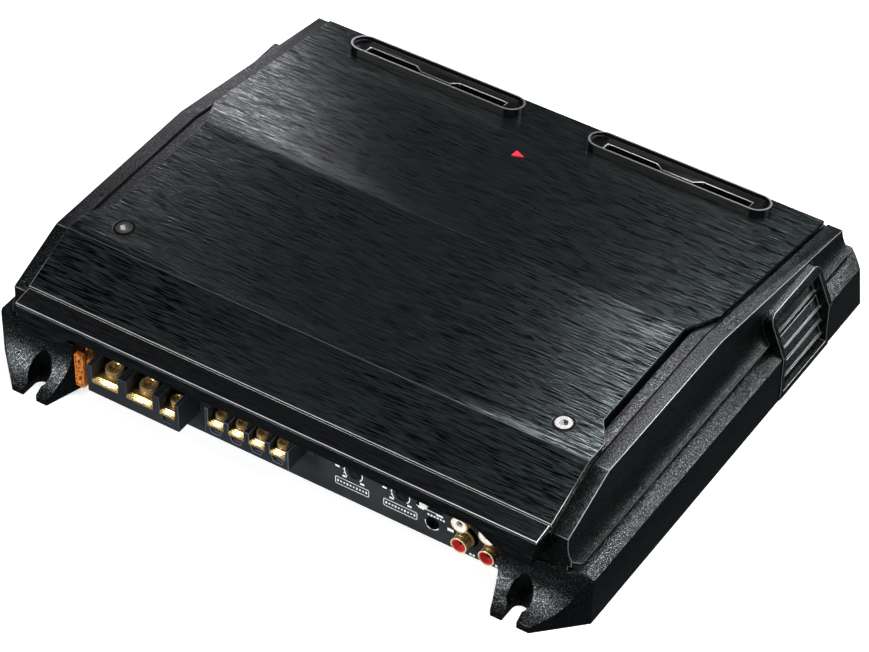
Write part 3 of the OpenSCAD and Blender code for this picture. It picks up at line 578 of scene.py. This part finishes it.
# ---------------------------------------------------------------- signal connectors and controls
def add_jacks():
    """Phono jacks: gold shells with a rolled lip and a bead, coloured insulators and hollow contacts."""
    low, high = box_mm("rca_shells")
    front = low.y
    r, hole = JACK_R, 1.7
    bore = r - 0.62
    columns, (red_row, white_row) = (low.x + r, high.x - r), (low.z + r, high.z - r)
    deep = COLLAR_Y + 8 - front
    shell, lips, contact = bmesh.new(), bmesh.new(), bmesh.new()
    white, red = bmesh.new(), bmesh.new()
    for x in columns:
        # The white insulator is nearly flush, and the red one is a cone sunk into its shell.
        for z, ring, lip, cone in ((red_row, red, -0.3, -2.2), (white_row, white, -0.12, -0.55)):
            centre = (x, front, z)
            turned(shell, [
                (bore, -deep), (bore, -0.5), (r, -0.5), (r, -1.9), (r - 0.14, -2.05), (r - 0.14, -2.3),
                (r, -2.45), (r, front - COLLAR_Y + 0.55), (r + 0.5, front - COLLAR_Y + 0.5),
                (r + 0.5, front - COLLAR_Y + 0.05), (r - 0.3, front - COLLAR_Y), (r - 0.3, -deep),
                (bore, -deep)], centre, "-Y")
            turned(lips, [
                (bore, -0.5), (bore, -0.25), (r - 0.55, -0.08), (r - 0.38, 0.0), (r - 0.2, -0.02),
                (r - 0.04, -0.15), (r, -0.3), (r, -0.5), (bore, -0.5)], centre, "-Y")
            turned(contact, [
                (0.95, -deep), (0.95, -2.4), (1.1, -2.2), (1.35, -2.2), (1.6, -2.6), (1.6, -deep),
                (0.95, -deep)], centre, "-Y", 32)
            turned(ring, [
                (r - 0.66, -deep), (r - 0.66, lip - 0.1), (r - 0.8, lip), (r - 1.15, lip - 0.06),
                (hole + 0.35, cone), (hole + 0.02, cone - 0.35), (hole + 0.02, -deep), (r - 0.66, -deep)],
                centre, "-Y")
    pieces = (  # name, mesh, finish, material slot, CAD nodes it stands for
        ("phono_shells", shell, "gold", "gold", ["rca_shells"]),
        ("phono_lips", lips, "gold_painted_highlight", "gold", []),
        ("phono_contacts", contact, "gold_painted_shade", "gold", ["rca_contacts"]),
        ("phono_white", white, "white_plastic", "white_plastic", ["rca_white_rings"]),
        ("phono_red", red, "red_plastic", "red_plastic", ["rca_red_rings"]))
    for name, bm, finish, slot, replaces in pieces:
        add_piece(to_object(name, bm, finish), "chassis", replaces, angle=35)


def add_dial(node):
    """Recessed trimmer: fluted edge, chamfered face, screwdriver slot and a white pointer line."""
    low, high, (x, _, z), r = round_node(node)
    face, back = low.y, low.y + 1.9
    points, flute_depth, spindle_r = 72, 0.16, 2.0
    bm = bmesh.new()
    flutes = []
    for k in range(points):
        turn = 2 * math.pi * k / points
        radius = r - (flute_depth if k % 4 < 2 else 0.0)
        flutes.append((x + radius * math.cos(turn), z + radius * math.sin(turn)))
    prism(bm, flutes, face + 0.35, back, along_y)
    rise = face - high.y
    turned(bm, [(0, 0), (r * 0.72, 0), (r * 0.8, -0.1), (r * 0.92, -0.36), (0, -0.36)], (x, face, z), "-Y")
    turned(bm, [(0, rise), (spindle_r, rise), (spindle_r, -1.8), (0, -1.8)], (x, face, z), "-Y", 32)
    obj = to_object(node + "_dial", bm, "knob_black")
    slot = bmesh.new()
    block(slot, (x - r * 0.66, face - 1, z - 0.42), (x + r * 0.66, face + 0.75, z + 0.42))
    carve(obj, slot)
    add_piece(obj, node, [node])
    bm = bmesh.new()
    block(bm, (x - r * 0.5, face - 0.03, z + r * 0.42), (x + r * 0.3, face + 0.1, z + r * 0.56))
    add_piece(to_object(node + "_pointer", bm, "print_white"), node)


def add_switch():
    """Slide switch: ribbed white lever on a wide shoe."""
    low, high = box_mm("switch_lever")
    x, z = (low.x + high.x) / 2, (low.z + high.z) / 2
    bm = bmesh.new()
    prism(bm, rounded_outline(4.0, 3.4, 0.35, 4, (x, z)), low.y + 0.35, high.y - 1.2, along_y)
    for k in range(4):
        at = x - 1.35 + 0.9 * k
        block(bm, (at - 0.22, low.y, z - 1.4), (at + 0.22, low.y + 0.4, z + 1.4))
    prism(bm, rounded_outline(6.4, 5.4, 0.3, 4, (x, z)), high.y - 1.25, high.y, along_y)
    add_piece(to_object("switch_lever_detail", bm, "white_plastic"), "switch_lever",
              ["switch_lever"], edge=0.08)


def on_circle(x, z, radius, turn):
    """A point on a circle round (x, z)."""
    return x + radius * math.cos(turn), z + radius * math.sin(turn)


def ring_mark(bm, x, z, radius, start, end, width):
    """A printed arc on the panel, between two angles in degrees."""
    steps = 20
    turns = [math.radians(start + (end - start) * k / steps) for k in range(steps + 1)]
    outer = [on_circle(x, z, radius, turn) for turn in turns]
    inner = [on_circle(x, z, radius - width, turn) for turn in turns]
    prism(bm, outer + inner[::-1], *PRINT_Y, along_y)


def bar_mark(bm, x0, z0, x1, z1, width):
    """A printed straight stroke on the panel."""
    along = Vector((x1 - x0, z1 - z0)).normalized() * width / 2
    side = Vector((-along.y, along.x))
    corners = [(x0 - side.x, z0 - side.y), (x1 - side.x, z1 - side.y), (x1 + side.x, z1 + side.y),
               (x0 + side.x, z0 + side.y)]
    prism(bm, corners, *PRINT_Y, along_y)


def frame_mark(bm, x0, z0, x1, z1):
    """A printed rounded frame, with a row of plain dashes in it."""
    radius, width, dash = 0.8, 0.3, 0.42
    middle = ((x0 + x1) / 2, (z0 + z1) / 2)
    outer = rounded_outline(x1 - x0, z1 - z0, radius, 5, middle)
    inner = rounded_outline(x1 - x0 - 2 * width, z1 - z0 - 2 * width, radius - width, 5, middle)
    for k in range(len(outer)):
        j = (k + 1) % len(outer)
        prism(bm, [outer[k], outer[j], inner[j], inner[k]], *PRINT_Y, along_y)
    count = int((x1 - x0 - 2.4) / 1.5)
    for k in range(count):
        at = x0 + 1.5 + (x1 - x0 - 3) * k / (count - 1)
        bar_mark(bm, at - dash, middle[1], at + dash, middle[1], 0.9 if k % 3 else 1.3)


def add_print():
    """White marks printed round the controls: arcs, ticks and frames, with no lettering."""
    bm = bmesh.new()
    for node in ("crossover_knob", "sensitivity_knob"):
        _, _, (x, _, z), _ = round_node(node)
        ring_mark(bm, x, z, 5.6, 128, 222, 0.45)
        ring_mark(bm, x, z, 4.4, -50, 28, 0.45)
        for k in range(5):
            turn = math.radians(140 + 20 * k)
            bar_mark(bm, *on_circle(x, z, 5.5, turn), *on_circle(x, z, 6.3, turn), 0.3)
        for dx, dz in ((-9.1, 0.3), (-5.4, -4.3), (4.1, -4.4)):
            bar_mark(bm, x + dx - 1.1, z + dz, x + dx + 1.1, z + dz, 1.0)
    for x0, x1 in ((23.0, 41.1), (48.8, 66.7)):
        frame_mark(bm, x0, 7.8, x1, 12.3)
    # Strokes under the switch and round the small jack, at x and z on the panel.
    for x0, x1 in ((76.6, 80.2), (67.2, 70.4)):
        bar_mark(bm, x0, 16.7, x1, 16.7, 0.9)
    bar_mark(bm, 66.2, 17.3, 79.8, 17.3, 0.35)
    for k in range(6):
        bar_mark(bm, 72.1 + 1.6 * k, 14.9, 73.1 + 1.6 * k, 14.9, 1.0)
    ring_mark(bm, 74.7, 10.5, 4.0, 175, 330, 0.6)
    bar_mark(bm, 71.9, 7.2, 73.7, 6.4, 0.5)
    bar_mark(bm, 82.6, 11.3, 85.8, 11.3, 1.7)
    # Pairs of dashes under the two columns of phono jacks.
    for x0 in (94.2, 107.6):
        for k in range(2):
            bar_mark(bm, x0 + 1.7 * k, 2.1, x0 + 1.1 + 1.7 * k, 2.1, 1.2)
    add_piece(to_object("panel_marks", bm, "print_white"), "chassis")


# ---------------------------------------------------------------- stage, light and camera
def add_floor():
    """A pale, slightly glowing floor that glossy rays pass through."""
    half, drop = 6, 0.0002
    mesh = bpy.data.meshes.new("floor")
    corners = [(-half, -half, 0), (half, -half, 0), (half, half, 0), (-half, half, 0)]
    mesh.from_pydata(corners, [], [(0, 1, 2, 3)])
    obj = bpy.data.objects.new("floor", mesh)
    bpy.context.collection.objects.link(obj)
    _, shader = new_material("floor_white")
    set_inputs(shader, (0.92, 0.92, 0.92), 0.9, Emission_Strength=0.65, Emission_Color=(1, 1, 1, 1))
    mesh.materials.append(M["floor_white"])
    obj.location.z = -drop
    obj.visible_glossy = False


def add_world():
    """A dim, slightly blue room."""
    world = bpy.data.worlds.new("studio")
    world.use_nodes = True
    background = world.node_tree.nodes["Background"]
    background.inputs["Color"].default_value = (0.85, 0.95, 1.0, 1)
    background.inputs["Strength"].default_value = 0.06
    bpy.context.scene.world = world
    bpy.context.scene.view_settings.view_transform = "Standard"


LIGHTS = (  # name, place, point it faces, width and height, all in metres, then watts and colour
    ("overhead_right", (1.3, -0.2, 2.4), (0, 0, 0), (1.6, 1.6), 60, (1, 1, 1)),
    ("front_left", (-1.0, -2.0, 0.95), (0, 0, 0), (0.9, 0.8), 43, (1, 1, 1)),
    ("back_wide", (0.45, 1.75, 1.72), (0, 0, 0.05), (1.8, 0.5), 6, (1, 1, 1)),
    # The three near lamps make the bright patches at the left rear and at the right end.
    ("near_left", (-0.6, 0.69, 0.36), (-0.1, 0.08, 0.06), (0.17, 0.14), 0.9, (1.0, 0.92, 0.99)),
    ("near_right", (0.06, 0.49, 0.66), (0.08, -0.02, 0.05), (0.42, 0.22), 3.0, (1.0, 0.94, 1.0)),
    ("near_side", (0.4, 0.4, 0.6), (0.15, -0.1, 0.04), (0.16, 0.12), 1.7, (1, 1, 1)),
    ("back_right_low", (1.65, 1.2, 0.8), (0, 0, 0.05), (0.9, 0.5), 16, (1, 1, 1)),
)


def add_light(name, at, towards, size, power, color):
    """A soft rectangular lamp that the camera does not see."""
    data = bpy.data.lights.new(name, "AREA")
    data.shape = "RECTANGLE"
    data.size, data.size_y = size
    data.energy = power
    data.color = color
    obj = bpy.data.objects.new(name, data)
    obj.location = at
    obj.rotation_euler = (Vector(towards) - Vector(at)).to_track_quat("-Z", "Y").to_euler()
    obj.visible_camera = False
    bpy.context.collection.objects.link(obj)


def add_camera(azimuth, elevation, roll, distance, lens, move):
    """Camera at angles in degrees and a distance in metres from the origin, then moved sideways and up."""
    az, el, turn = (math.radians(v) for v in (azimuth, elevation, roll))
    back = Vector((math.sin(az) * math.cos(el), -math.cos(az) * math.cos(el), math.sin(el)))
    right = Vector((math.cos(az), math.sin(az), 0))
    up = back.cross(right)
    right, up = right * math.cos(turn) + up * math.sin(turn), up * math.cos(turn) - right * math.sin(turn)
    data = bpy.data.cameras.new("camera")
    data.lens = lens
    data.sensor_width = 36
    obj = bpy.data.objects.new("camera", data)
    place_at = back * distance + right * move[0] + up * move[1]
    obj.matrix_world = Matrix.Translation(place_at) @ Matrix((right, up, back)).transposed().to_4x4()
    bpy.context.collection.objects.link(obj)
    bpy.context.scene.camera = obj


add_terminals()
add_fuse()
add_jacks()
add_dial("crossover_knob")
add_dial("sensitivity_knob")
add_switch()
add_print()
add_floor()
add_world()
for light in LIGHTS:
    add_light(*light)
add_camera(azimuth=32.258, elevation=42.212, roll=0.715, distance=1.7401, lens=152.67, move=(-0.0008, 0.00016))
